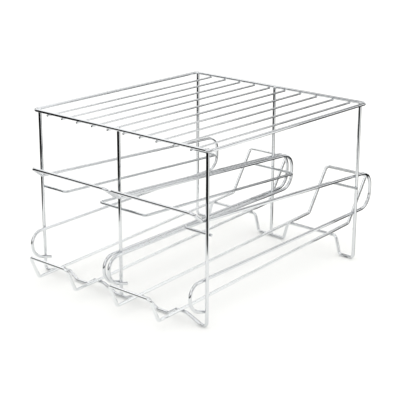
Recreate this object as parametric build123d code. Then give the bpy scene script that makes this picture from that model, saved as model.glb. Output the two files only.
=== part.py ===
from build123d import *
import os

# Two-lane can rack in welded round wire: cans roll back along the upper tier,
# drop behind the rear posts and roll forward again along the lower tier.
# Millimetres. X runs across the lanes, the front is towards -Y, the floor is Z = 0,
# and the axis of every front post is at Y = 0 until the whole rack is centred.

# wire gauges
wire_d = 4.2                  # posts, end frames, shelf frame, guides and lower tracks
track_d = 3.5                 # upper tracks
slat_d = 2.6                  # shelf wires

# overall sizes
lane_pitch = 142.0            # post to post across one lane, for a 122 mm long can
post_depth = 307.0            # front posts to rear posts
shelf_height = 219.4          # axis of the shelf frame above the floor

# shelf
shelf_corner = 6.0            # bend radius of the frame's corners
shelf_side_gap = 0.5          # outer posts to the start of a corner bend
slats_per_lane = 5            # spread evenly across the frame
slat_overhang = 1.5           # slat ends past the axis of the frame wire
post_over_frame = 1.0         # post tops above the axis of the shelf frame

# end frames: every number here is measured inside one lane
foot_bend = 5.0               # bend where a post turns into its foot
front_foot = 9.0              # flat foot, from the post's axis
front_rest_rise = 9.0         # raised rests under the tracks
front_rest_outside = 5.0      # rest, from the track wire towards the post
front_rest_inside = 10.5      # rest, from the track wire towards the lane's middle
front_slope_run = 14.0        # slope from a rest down to the floor between the rests
front_bend = 8.0
rear_foot = 22.5
rear_bar_rise = 25.4          # bar between the rear feet
rear_bar_outside = 7.0        # bar, from the track wire towards the post
rear_bend = 5.5

# lower tracks
track_half = 34.0             # track wires, from the lane's middle
lower_bend = 5.0
stop_front_foot = 43.8        # bend of the front stop, ahead of the front posts
stop_front_lean = 13.7        # the stop's top stands this much further forward
stop_front_top = 43.6         # axis of the front stop's top bar above the floor
stop_rear_foot = 40.2         # bend of the rear stop, behind the rear posts
stop_rear_lean = 40.3
stop_rear_top = 95.6

# upper tracks
upper_half = 31.4             # track wires, from the lane's middle
upper_front_height = 116.6    # axis at the front posts
upper_rear_height = 103.2     # axis at the rear posts
upper_bend = 5.0
upper_end_past_post = 3.0     # open ends of the outer tracks past the post's axis

# can guides: one wire a lane, a lower guide and an upper rail on each side
guide_front_height = 60.0     # lower guide at the front posts
guide_rear_height = 66.4      # lower guide at the rear posts
rail_front_height = 133.2     # upper rail at the front posts
rail_rear_height = 118.3      # upper rail at the rear posts
front_loop_reach = 25.2       # axis of the front loop ahead of the front posts
front_loop_drop = 32.0        # from the loop's upper bend point down to its lower one
front_loop_upper_bend = 16.0
front_loop_lower_bend = 21.0
front_tail_end = 5.5          # the wire's end, past the axis of the front post
front_tail_fall = 9.1         # the end's axis, below the lower bend point
rear_loop_flat = 8.2          # straight in the end of the rear loop
rear_loop_reach = 39.6        # axis of the rear loop behind the rear posts
lip_start = 3.4               # where the rail turns up, ahead of the front posts
lip_reach = 20.0              # axis of the lip's bar ahead of the front posts
lip_rise = 13.0               # axis of the lip's bar above the rail
lip_bend = 10.0
lip_corner = 5.0

# worked out from the sizes above
wire_r = wire_d / 2
lane_middle = lane_pitch / 2
middle_plane = Plane.YZ
right_lane_plane = Plane.YZ.offset(lane_middle)
left_lane_plane = Plane.YZ.offset(-lane_middle)
shelf_half_width = lane_pitch + shelf_corner + shelf_side_gap
front_rest_height = wire_r + front_rest_rise
rear_bar_height = wire_r + rear_bar_rise
post_top = shelf_height + post_over_frame
stop_front_y = -stop_front_foot - stop_front_lean
stop_rear_y = post_depth + stop_rear_foot + stop_rear_lean
centre_shift = -(stop_front_y + stop_rear_y) / 2


def height_at(y, front, rear):
    """Height at depth y of a straight run given at the front and the rear posts."""
    return front + (rear - front) * y / post_depth


def bent_wire(points, radii, diameter):
    """Round wire through the points, bent to one radius at each inner point."""
    path = FilletPolyline(*points, radius=radii)
    section = Plane(origin=path @ 0, z_dir=path % 0) * Circle(diameter / 2)
    return sweep(section, path=path)


def straight_wire(start, end, diameter):
    path = Line(start, end)
    section = Plane(origin=path @ 0, z_dir=path % 0) * Circle(diameter / 2)
    return sweep(section, path=path)


def with_mirror(half, plane):
    """A wire that is its own mirror image: the two halves join into one solid."""
    return half + mirror(half, about=plane)


def shelf_frame():
    front_y = -wire_d
    rear_y = post_depth + wire_d
    points = [
        (0, front_y, shelf_height),
        (shelf_half_width, front_y, shelf_height),
        (shelf_half_width, rear_y, shelf_height),
        (0, rear_y, shelf_height),
    ]
    return with_mirror(bent_wire(points, [shelf_corner] * 2, wire_d), middle_plane)


def shelf_slat(x):
    height = shelf_height - (wire_d + slat_d) / 2
    reach = wire_d + slat_overhang
    return straight_wire((x, -reach, height), (x, post_depth + reach, height), slat_d)


def slat_places():
    count = 2 * slats_per_lane
    pitch = 2 * shelf_half_width / (count + 1)
    return [(i - (count - 1) / 2) * pitch for i in range(count)]


def front_end_frame():
    outer = track_half + front_rest_outside
    inner = track_half - front_rest_inside
    floor_run = inner - front_slope_run
    lane = [
        (-lane_middle + front_foot, wire_r),
        (-outer, front_rest_height),
        (-inner, front_rest_height),
        (-floor_run, wire_r),
        (floor_run, wire_r),
        (inner, front_rest_height),
        (outer, front_rest_height),
        (lane_middle - front_foot, wire_r),
    ]
    points = [(0, 0, wire_r)]
    points += [(lane_middle + x, 0, z) for x, z in lane]
    points += [(lane_pitch, 0, wire_r), (lane_pitch, 0, post_top)]
    radii = [front_bend] * len(lane) + [foot_bend]
    return with_mirror(bent_wire(points, radii, wire_d), middle_plane)


def rear_end_frame():
    bar_half = track_half + rear_bar_outside
    lane = [
        (-lane_middle + rear_foot, wire_r),
        (-bar_half, rear_bar_height),
        (bar_half, rear_bar_height),
        (lane_middle - rear_foot, wire_r),
    ]
    points = [(0, post_depth, wire_r)]
    points += [(lane_middle + x, post_depth, z) for x, z in lane]
    points += [(lane_pitch, post_depth, wire_r), (lane_pitch, post_depth, post_top)]
    radii = [rear_bend] * len(lane) + [foot_bend]
    return with_mirror(bent_wire(points, radii, wire_d), middle_plane)


def middle_post(y):
    """A middle post stands on the foot run of its end frame."""
    return straight_wire((0, y, wire_d), (0, y, post_top), wire_d)


def can_guide():
    """The right lane's guide: half of it, from the lip's bar to the end of a front loop."""
    side = lane_pitch - wire_d
    nose_y = -front_loop_reach
    rear_y = post_depth + rear_loop_reach
    rear_low = height_at(rear_y, guide_front_height, guide_rear_height)
    rear_high = height_at(rear_y, rail_front_height, rail_rear_height)
    rear_radius = (rear_high - rear_low - rear_loop_flat) / 2
    lip_start_height = height_at(-lip_start, rail_front_height, rail_rear_height)
    nose_height = height_at(nose_y, guide_front_height, guide_rear_height)
    bend_height = nose_height - front_loop_drop
    points = [
        (lane_middle, -lip_reach, lip_start_height + lip_rise),
        (side, -lip_reach, lip_start_height + lip_rise),
        (side, -lip_start, lip_start_height),
        (side, rear_y, rear_high),
        (side, rear_y, rear_low),
        (side, nose_y, nose_height),
        (side, nose_y, bend_height),
        (side, front_tail_end, bend_height - front_tail_fall),
    ]
    radii = [lip_corner, lip_bend]
    radii += [rear_radius] * 2
    radii += [front_loop_upper_bend, front_loop_lower_bend]
    return with_mirror(bent_wire(points, radii, wire_d), right_lane_plane)


def lower_track():
    """The right lane's lower track: two running wires closed by a stop at each end."""
    track_x = lane_middle + track_half
    front = front_rest_height + wire_d
    rear = rear_bar_height + wire_d
    front_foot_y = -stop_front_foot
    rear_foot_y = post_depth + stop_rear_foot
    points = [
        (lane_middle, stop_front_y, stop_front_top),
        (track_x, stop_front_y, stop_front_top),
        (track_x, front_foot_y, height_at(front_foot_y, front, rear)),
        (track_x, rear_foot_y, height_at(rear_foot_y, front, rear)),
        (track_x, stop_rear_y, stop_rear_top),
        (lane_middle, stop_rear_y, stop_rear_top),
    ]
    half = bent_wire(points, [lower_bend] * 4, wire_d)
    return with_mirror(half, right_lane_plane)


def upper_track_corners(x):
    """Front and rear corners of an upper track whose running wire is at x."""
    inside = (wire_d + track_d) / 2
    corners = []
    for y in (inside, post_depth - inside):
        corners.append((x, y, height_at(y, upper_front_height, upper_rear_height)))
    return corners


def outer_upper_track():
    """The right lane's outer running wire, bent in a C that is open at the right posts."""
    front, rear = upper_track_corners(lane_middle + upper_half)
    end_x = lane_pitch + upper_end_past_post
    points = [(end_x, front[1], front[2]), front, rear, (end_x, rear[1], rear[2])]
    return bent_wire(points, [upper_bend] * 2, track_d)


def middle_upper_track():
    """The inner running wire of both lanes, closed round the two middle posts."""
    front, rear = upper_track_corners(lane_middle - upper_half)
    points = [(0, front[1], front[2]), front, rear, (0, rear[1], rear[2])]
    return with_mirror(bent_wire(points, [upper_bend] * 2, track_d), middle_plane)


def rack():
    pieces = {
        "shelf_frame": shelf_frame(),
        "front_end_frame": front_end_frame(),
        "rear_end_frame": rear_end_frame(),
        "front_middle_post": middle_post(0),
        "rear_middle_post": middle_post(post_depth),
        "middle_upper_track": middle_upper_track(),
    }
    lane_pieces = {
        "can_guide": can_guide(),
        "lower_track": lower_track(),
        "upper_track": outer_upper_track(),
    }
    for name, piece in lane_pieces.items():
        pieces["right_" + name] = piece
        pieces["left_" + name] = mirror(piece, about=middle_plane)
    for number, x in enumerate(slat_places(), start=1):
        pieces[f"shelf_wire_{number:02d}"] = shelf_slat(x)
    return pieces


os.makedirs("parts", exist_ok=True)
for name, piece in rack().items():
    export_step(Pos(0, centre_shift, 0) * piece, f"parts/{name}.step")
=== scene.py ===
from math import pi, radians

import bmesh
import bpy
from mathutils import Matrix, Vector


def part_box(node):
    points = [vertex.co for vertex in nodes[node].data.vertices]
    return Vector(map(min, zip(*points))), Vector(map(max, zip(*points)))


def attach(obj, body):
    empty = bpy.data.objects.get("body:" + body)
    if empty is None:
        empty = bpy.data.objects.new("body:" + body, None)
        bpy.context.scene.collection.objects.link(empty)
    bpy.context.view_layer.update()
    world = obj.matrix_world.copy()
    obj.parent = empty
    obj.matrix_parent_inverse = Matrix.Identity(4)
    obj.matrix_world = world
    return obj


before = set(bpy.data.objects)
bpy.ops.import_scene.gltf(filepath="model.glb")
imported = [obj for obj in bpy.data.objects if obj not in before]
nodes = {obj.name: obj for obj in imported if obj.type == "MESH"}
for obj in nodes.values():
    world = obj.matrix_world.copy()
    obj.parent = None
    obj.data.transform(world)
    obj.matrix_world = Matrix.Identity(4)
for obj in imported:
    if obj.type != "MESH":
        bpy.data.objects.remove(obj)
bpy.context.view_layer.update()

mm = 0.001
mergeDistance = 0.002 * mm


def linearColor(hexText):
    channels = [int(hexText[i:i + 2], 16) / 255 for i in (1, 3, 5)]
    return (*[c / 12.92 if c <= 0.04045 else ((c + 0.055) / 1.055) ** 2.4 for c in channels], 1)


def addNode(tree, kind, inputs=None, **settings):
    node = tree.nodes.new(kind)
    for name, value in settings.items():
        setattr(node, name, value)
    for name, value in (inputs or {}).items():
        if isinstance(value, bpy.types.NodeSocket):
            tree.links.new(value, node.inputs[name])
        else:
            node.inputs[name].default_value = value
    return node


def newMaterial(name):
    material = bpy.data.materials.new(name)
    material.use_nodes = True
    material.node_tree.nodes.clear()
    return material, material.node_tree


def finishMesh(bm, name, material, smooth=True):
    bmesh.ops.remove_doubles(bm, verts=bm.verts, dist=mergeDistance)
    bmesh.ops.recalc_face_normals(bm, faces=bm.faces)
    mesh = bpy.data.meshes.new(name)
    bm.to_mesh(mesh)
    bm.free()
    for face in mesh.polygons:
        face.use_smooth = smooth
    mesh.materials.append(material)
    piece = bpy.data.objects.new(name, mesh)
    bpy.context.scene.collection.objects.link(piece)
    return piece


# the wires, as the frame has them
postLow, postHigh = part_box("front_middle_post")
rearLow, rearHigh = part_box("rear_middle_post")
frameLow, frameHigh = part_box("front_end_frame")
shelfLow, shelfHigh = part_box("shelf_frame")
slatLow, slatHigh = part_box("shelf_wire_01")
wireRadius = (postHigh.x - postLow.x) / 2
slatRadius = (slatHigh.x - slatLow.x) / 2
frontPostY = (postLow.y + postHigh.y) / 2
rearPostY = (rearLow.y + rearHigh.y) / 2
postXs = (frameLow.x + wireRadius, 0, frameHigh.x - wireRadius)

rack = {
    "trackRadius": 1.75 * mm,        # upper tracks
    "guideHeights": (60.0 * mm, 66.4 * mm),     # lower guide at the front and the rear posts
    "railHeights": (133.2 * mm, 118.3 * mm),    # upper rail
    "tailHeight": 20.0 * mm,         # end of a front loop, where it passes the post
    "tailEnd": (5.5 * mm, 18.375 * mm),         # its cut end: behind the front posts, above the floor
    "tailSlope": -0.296,             # fall of the tail for each step to the rear
    "upperHeights": (116.6 * mm, 103.2 * mm),   # upper tracks
    "restTops": (13.2 * mm, 29.6 * mm),         # tops of the rests under the lower tracks
}


# bright nickel and chrome over drawn steel wire: a cold, hard mirror with soft ripples
chrome = {
    "light": "#E0E2E4",              # thick plating
    "deep": "#D6D8DA",               # thinner plating, where the nickel shows a little
    "tintPatch": 38 * mm,            # drift of the plating's tone along a wire
    "ripple": 7 * mm,                # straightening ripples of the wire under the plating
    "rippleHeight": 0.012 * mm,
    "peel": 1.3 * mm,                # grain of the plating: really 0.2 mm, drawn coarser to show
    "peelHeight": 0.0012 * mm,
    "roughness": (0.045, 0.10),
}


def chromePlate(name, look, wear=None):
    material, tree = newMaterial(name)
    place = addNode(tree, "ShaderNodeTexCoord").outputs["Object"]
    drift = addNode(tree, "ShaderNodeTexNoise", {
        "Vector": place, "Scale": 1 / look["tintPatch"], "Detail": 2.0, "Roughness": 0.5})
    tone = addNode(tree, "ShaderNodeMix", {
        "Factor": drift.outputs["Fac"], "A": linearColor(look["deep"]), "B": linearColor(look["light"])},
        data_type="RGBA")
    grain = addNode(tree, "ShaderNodeTexNoise", {
        "Vector": place, "Scale": 1 / look["peel"], "Detail": 3.0, "Roughness": 0.6})
    low, high = look["roughness"]
    gloss = addNode(tree, "ShaderNodeMapRange", {
        "Value": grain.outputs["Fac"], "From Min": 0.3, "From Max": 0.7, "To Min": low, "To Max": high})
    roughness = gloss.outputs["Result"]
    if wear:
        roughness = rollingWear(tree, place, roughness, wear)
    wave = addNode(tree, "ShaderNodeTexNoise", {
        "Vector": place, "Scale": 1 / look["ripple"], "Detail": 1.0})
    ripples = addNode(tree, "ShaderNodeBump", {
        "Height": wave.outputs["Fac"], "Distance": look["rippleHeight"], "Strength": 1.0})
    peel = addNode(tree, "ShaderNodeBump", {
        "Height": grain.outputs["Fac"], "Distance": look["peelHeight"], "Strength": 1.0,
        "Normal": ripples.outputs["Normal"]})
    shader = addNode(tree, "ShaderNodeBsdfPrincipled", {
        "Base Color": tone.outputs["Result"], "Metallic": 1.0, "Roughness": roughness,
        "Normal": peel.outputs["Normal"]})
    addNode(tree, "ShaderNodeOutputMaterial", {"Surface": shader.outputs["BSDF"]})
    return material


# cans roll on the crowns of the tracks and leave fine lengthwise scuffs in the plating
canWear = {"lineWidth": 0.7 * mm, "lineLength": 45 * mm, "crown": (0.80, 0.98), "added": 0.10}


def rollingWear(tree, place, roughness, wear):
    lines = addNode(tree, "ShaderNodeMapping", {
        "Vector": place,
        "Scale": (1 / wear["lineWidth"], 1 / wear["lineLength"], 1 / wear["lineWidth"])})
    scuffs = addNode(tree, "ShaderNodeTexNoise", {
        "Vector": lines.outputs["Vector"], "Scale": 1.0, "Detail": 3.0, "Roughness": 0.7})
    normal = addNode(tree, "ShaderNodeNewGeometry").outputs["Normal"]
    upward = addNode(tree, "ShaderNodeSeparateXYZ", {"Vector": normal})
    crownLow, crownHigh = wear["crown"]
    crown = addNode(tree, "ShaderNodeMapRange", {
        "Value": upward.outputs["Z"], "From Min": crownLow, "From Max": crownHigh,
        "To Min": 0.0, "To Max": wear["added"]}, interpolation_type="SMOOTHSTEP")
    scuffed = addNode(tree, "ShaderNodeMath", {
        0: crown.outputs["Result"], 1: scuffs.outputs["Fac"]}, operation="MULTIPLY")
    return addNode(tree, "ShaderNodeMath", {0: roughness, 1: scuffed.outputs["Value"]}).outputs["Value"]


# the plating's tone differs a little between wires as painted light and shade: the lower tracks are painted
# lighter, the upper ones painted darker
wireChrome = chromePlate("chromePlatedWire", chrome)
# painted light: the lower tracks' plating is made lighter
lowerTrackPaintedLightChrome = chromePlate("chromePlatedLowerTrackWirePaintedLight", {
    **chrome, "light": "#EAECED", "deep": "#E2E4E5"}, canWear)
# painted shade: the upper tracks' plating is made darker
upperTrackPaintedShadeChrome = chromePlate("chromePlatedUpperTrackWirePaintedShade", {
    **chrome, "light": "#D2D5D7", "deep": "#C8CBCD"}, canWear)
slatChrome = chromePlate("chromePlatedThinWire", {
    **chrome, "light": "#DFE1E3", "deep": "#D5D7D9", "ripple": 5 * mm, "peel": 1.0 * mm})
# the welded metal is rough under the plating, so it looks duller
weldChrome = chromePlate("chromePlatedWeld", {
    **chrome, "peelHeight": 0.02 * mm, "peel": 0.5 * mm, "roughness": (0.12, 0.26)})

for name, node in nodes.items():
    if name.startswith("shelf_wire"):
        material = slatChrome
    elif name.endswith("_lower_track"):
        material = lowerTrackPaintedLightChrome
    elif name.endswith("_upper_track"):
        material = upperTrackPaintedShadeChrome
    else:
        material = wireChrome
    for materialSlot in node.material_slots:
        materialSlot.material = material
print("chrome on", len(nodes), "wires")


# a resistance weld: a waisted nugget in the wedge between two crossing wires
weld = {
    "neck": 0.42,        # shares of the thinner wire's radius, as the next two are
    "flare": 0.64,
    "reach": 0.36,
    "steps": 20,         # faces round the nugget
}


def spunPiece(bm, profile, place, direction, steps):
    # turns a profile of (radius, height) points round the direction, and sets it at the place
    verts = [bm.verts.new((radius, 0, height)) for radius, height in profile]
    edges = [bm.edges.new(pair) for pair in zip(verts, verts[1:])]
    bmesh.ops.spin(
        bm, geom=verts + edges, cent=(0, 0, 0), axis=(0, 0, 1), dvec=(0, 0, 0),
        angle=2 * pi, steps=steps, use_merge=True, use_duplicate=False)
    turned = [v for v in bm.verts if not v.tag]
    turn = Vector((0, 0, 1)).rotation_difference(Vector(direction)).to_matrix().to_4x4()
    bmesh.ops.transform(bm, matrix=Matrix.Translation(place) @ turn, verts=turned)
    for v in bm.verts:
        v.tag = True


def weldNugget(bm, place, normal, radius):
    neck, flare, reach = (weld[key] * radius for key in ("neck", "flare", "reach"))
    profile = [(0, -reach * 1.5), (flare, -reach * 1.5), (flare * 0.94, -reach), (neck * 1.14, -reach * 0.45),
               (neck, 0), (neck * 1.14, reach * 0.45), (flare * 0.94, reach), (flare, reach * 1.5),
               (0, reach * 1.5)]
    spunPiece(bm, profile, place, normal, weld["steps"])


def weldPiece(name, contacts):
    bm = bmesh.new()
    for place, normal, radius in contacts:
        weldNugget(bm, place, normal, radius)
    piece = finishMesh(bm, name, weldChrome)
    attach(piece, "root")


def shelfWireContacts():
    contacts = []
    for number in range(1, 11):
        low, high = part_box(f"shelf_wire_{number:02d}")
        for y in (shelfLow.y + wireRadius, shelfHigh.y - wireRadius):
            contacts.append(((low.x + slatRadius, y, high.z), (0, 0, 1), slatRadius))
    return contacts


def shelfPostContacts():
    height = (shelfLow.z + shelfHigh.z) / 2
    return [((x, y, height), (0, 1, 0), wireRadius)
            for x in postXs for y in (frontPostY - wireRadius, rearPostY + wireRadius)]


def lowerTrackContacts():
    contacts = []
    for side in ("left", "right"):
        low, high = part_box(side + "_lower_track")
        for x in (low.x + wireRadius, high.x - wireRadius):
            for y, top in zip((frontPostY, rearPostY), rack["restTops"]):
                contacts.append(((x, y, top), (0, 0, 1), wireRadius))
    return contacts


def guideContacts():
    heights = [(frontPostY, rack["tailHeight"])]
    for key in ("guideHeights", "railHeights"):
        heights += zip((frontPostY, rearPostY), rack[key])
    contacts = []
    for side in ("left", "right"):
        low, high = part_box(side + "_can_guide")
        for x in (low.x, high.x):
            contacts += [((x, y, z), (1, 0, 0), wireRadius) for y, z in heights]
    return contacts


def upperTrackContacts():
    contacts = []
    for x in postXs:
        for y, z in zip((frontPostY + wireRadius, rearPostY - wireRadius), rack["upperHeights"]):
            contacts.append(((x, y, z), (0, 1, 0), rack["trackRadius"]))
    return contacts


weldPiece("shelf_wire_welds", shelfWireContacts())
weldPiece("shelf_post_welds", shelfPostContacts())
weldPiece("lower_track_welds", lowerTrackContacts())
weldPiece("can_guide_welds", guideContacts())
weldPiece("upper_track_welds", upperTrackContacts())


# a middle post stands on its foot run in a bead of weld
footBead = {
    "profile": [(0, -1.3), (1.3, -1.3), (2.05, -0.85), (2.5, -0.25), (2.48, 0.25), (2.3, 0.75),
                (2.16, 1.5), (0, 1.5)],      # radius and height in mm, from the post's cut end
    "steps": 28,
}


def postFootWelds():
    bm = bmesh.new()
    profile = [(radius * mm, height * mm) for radius, height in footBead["profile"]]
    for y in (frontPostY, rearPostY):
        spunPiece(bm, profile, (0, y, postLow.z), (0, 0, 1), footBead["steps"])
    piece = finishMesh(bm, "post_foot_welds", weldChrome)
    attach(piece, "root")


postFootWelds()
print("welds made")


# a sheared wire end, rounded by the plating that gathers on it
wireEnd = {
    "swell": 1.03,           # of the wire's radius
    "length": 0.9 * mm,      # how far the cap reaches back over the wire
    "shoulder": 0.35 * mm,   # where the swelling starts
    "crown": 0.35 * mm,      # how far the rounded face stands out
    "steps": 24,
}


def endCap(bm, place, direction, radius):
    swell, crown = radius * wireEnd["swell"], wireEnd["crown"]
    length, shoulder = wireEnd["length"], wireEnd["shoulder"]
    profile = [(0, -length), (radius * 0.97, -length), (swell, -shoulder), (swell, 0),
               (radius * 0.93, crown * 0.5), (radius * 0.76, crown * 0.85), (radius * 0.4, crown),
               (0, crown * 1.04)]
    spunPiece(bm, profile, place, direction, wireEnd["steps"])


def endPiece(name, ends, material):
    bm = bmesh.new()
    for place, direction, radius in ends:
        endCap(bm, place, direction, radius)
    piece = finishMesh(bm, name, material)
    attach(piece, "root")


def slatEnds():
    ends = []
    for number in range(1, 11):
        low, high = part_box(f"shelf_wire_{number:02d}")
        middle = (low + high) / 2
        ends.append(((middle.x, low.y, middle.z), (0, -1, 0), slatRadius))
        ends.append(((middle.x, high.y, middle.z), (0, 1, 0), slatRadius))
    return ends


def postEnds():
    return [((x, y, postHigh.z), (0, 0, 1), wireRadius) for x in postXs for y in (frontPostY, rearPostY)]


def guideEnds():
    behind, height = rack["tailEnd"]
    ends = []
    for side in ("left", "right"):
        low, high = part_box(side + "_can_guide")
        for x in (low.x + wireRadius, high.x - wireRadius):
            ends.append(((x, frontPostY + behind, height), (0, 1, rack["tailSlope"]), wireRadius))
    return ends


def upperTrackEnds():
    radius = rack["trackRadius"]
    inside = wireRadius + radius
    ends = []
    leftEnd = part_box("left_upper_track")[0].x
    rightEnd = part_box("right_upper_track")[1].x
    for endX, way in ((leftEnd, -1), (rightEnd, 1)):
        for y, z in zip((frontPostY + inside, rearPostY - inside), rack["upperHeights"]):
            ends.append(((endX, y, z), (way, 0, 0), radius))
    return ends


endPiece("shelf_wire_ends", slatEnds(), slatChrome)
endPiece("post_ends", postEnds(), wireChrome)
endPiece("can_guide_ends", guideEnds(), wireChrome)
endPiece("upper_track_ends", upperTrackEnds(), upperTrackPaintedShadeChrome)
print("wire ends made")


studio = {
    "worldStrength": 1.27,
    "floorColor": "#F4F4F2",
    "floorHalf": 8.0,
    "floorSpeckle": 3 * mm,          # orange peel of a rolled floor paint
    "cardSteps": 16,                 # faces along a card
}


# matt floor paint: flat and pale, with no shine
def makeFloor():
    material, tree = newMaterial("paintedStudioFloor")
    place = addNode(tree, "ShaderNodeTexCoord").outputs["Object"]
    speckle = addNode(tree, "ShaderNodeTexNoise", {
        "Vector": place, "Scale": 1 / studio["floorSpeckle"], "Detail": 2.0})
    roughness = addNode(tree, "ShaderNodeMapRange", {
        "Value": speckle.outputs["Fac"], "To Min": 0.7, "To Max": 0.9})
    shader = addNode(tree, "ShaderNodeBsdfPrincipled", {
        "Base Color": linearColor(studio["floorColor"]), "Roughness": roughness.outputs["Result"],
        "Specular IOR Level": 0.0})
    addNode(tree, "ShaderNodeOutputMaterial", {"Surface": shader.outputs["BSDF"]})
    bm = bmesh.new()
    bmesh.ops.create_grid(bm, x_segments=8, y_segments=8, size=studio["floorHalf"])
    floor = finishMesh(bm, "floor", material, smooth=False)


def makeWorld():
    world = bpy.data.worlds.new("paleStudio")
    bpy.context.scene.world = world
    world.use_nodes = True
    tree = world.node_tree
    tree.nodes.clear()
    background = addNode(tree, "ShaderNodeBackground", {
        "Color": linearColor("#FFFFFF"), "Strength": studio["worldStrength"]})
    addNode(tree, "ShaderNodeOutputWorld", {"Surface": background.outputs["Background"]})


# painted reflections: glowing cards, dark or grey, that only the chrome sees, laid as mats on the floor and
# walls in sectors round the rack
# each has azimuths from +X towards +Y, radii and heights in metres, and radiance
cards = {
    "frontMatReflection": ((258, 345), (0.46, 2.5), (0, 0), 0.01),
    "frontLeftMatReflection": ((205, 262), (0.47, 2.5), (0, 0), 0.01),
    "leftMatReflection": ((192, 223), (0.34, 2.5), (0, 0), 0.06),
    "backLeftMatReflection": ((97, 192), (0.50, 2.5), (0, 0), 0.55),
    "backRightMatReflection": ((46, 104), (0.19, 2.5), (0, 0), 0.01),
    "frontLeftWallReflection": ((208, 250), (2.5, 2.5), (0, 1.60), 0.01),
    "frontRightWallReflection": ((275, 340), (2.5, 2.5), (0, 0.35), 0.35),
    "backRightGapReflection": ((46, 90), (2.5, 2.5), (1.05, 1.95), 0.01),
    "backGapReflection": ((102, 136), (2.5, 2.5), (1.15, 2.00), 0.02),
    # these three paint the wires' dark reflected lines from the sides and from above
    "rightWallReflection": ((328, 388), (2.5, 2.5), (0.35, 1.50), 0.04),
    "farLeftWallReflection": ((155, 192), (2.5, 2.5), (0.60, 1.80), 0.04),
    "ceilingEdgeReflection": ((0, 360), (2.5, 2.5), (3.60, 4.70), 0.05),
}


def makeCard(name, azimuths, radii, heights, radiance):
    material, tree = newMaterial(name)
    glow = addNode(tree, "ShaderNodeEmission", {"Color": linearColor("#FFFFFF"), "Strength": radiance})
    addNode(tree, "ShaderNodeOutputMaterial", {"Surface": glow.outputs["Emission"]})
    bm = bmesh.new()
    inner, outer = (bm.verts.new((r, 0, h)) for r, h in zip(radii, heights))
    edge = bm.edges.new((inner, outer))
    start, end = (radians(a) for a in azimuths)
    bmesh.ops.spin(bm, geom=[inner, outer, edge], cent=(0, 0, 0), axis=(0, 0, 1), dvec=(0, 0, 0),
                   angle=end - start, steps=studio["cardSteps"], use_merge=False, use_duplicate=False)
    lift = Matrix.Translation((0, 0, 1 * mm)) @ Matrix.Rotation(start, 4, "Z")
    bmesh.ops.transform(bm, matrix=lift, verts=bm.verts)
    card = finishMesh(bm, name, material, smooth=False)
    # painted reflection: the card is hidden from the camera, from lit surfaces and from shadows, and is seen
    # only in the chrome
    card.visible_camera = False
    card.visible_diffuse = False
    card.visible_shadow = False
    card.visible_transmission = False


makeFloor()
makeWorld()
for name, card in cards.items():
    makeCard(name, *card)
print("studio made")


camera = {
    "place": (0.96079, -1.11701, 0.56689),
    "yaw": 41.090,       # degrees, as are the next two
    "pitch": 17.971,     # below the horizon
    "roll": 0.240,
    "lens": 104.08,
    "sensor": 36.0,
}


def makeCamera():
    data = bpy.data.cameras.new("camera")
    data.lens = camera["lens"]
    data.sensor_width = camera["sensor"]
    data.clip_end = 40
    shot = bpy.data.objects.new("camera", data)
    bpy.context.scene.collection.objects.link(shot)
    turn = (Matrix.Rotation(radians(camera["yaw"]), 4, "Z")
            @ Matrix.Rotation(radians(90 - camera["pitch"]), 4, "X")
            @ Matrix.Rotation(radians(camera["roll"]), 4, "Z"))
    shot.matrix_world = Matrix.Translation(camera["place"]) @ turn
    bpy.context.scene.camera = shot


makeCamera()
bpy.context.scene.view_settings.view_transform = "Standard"
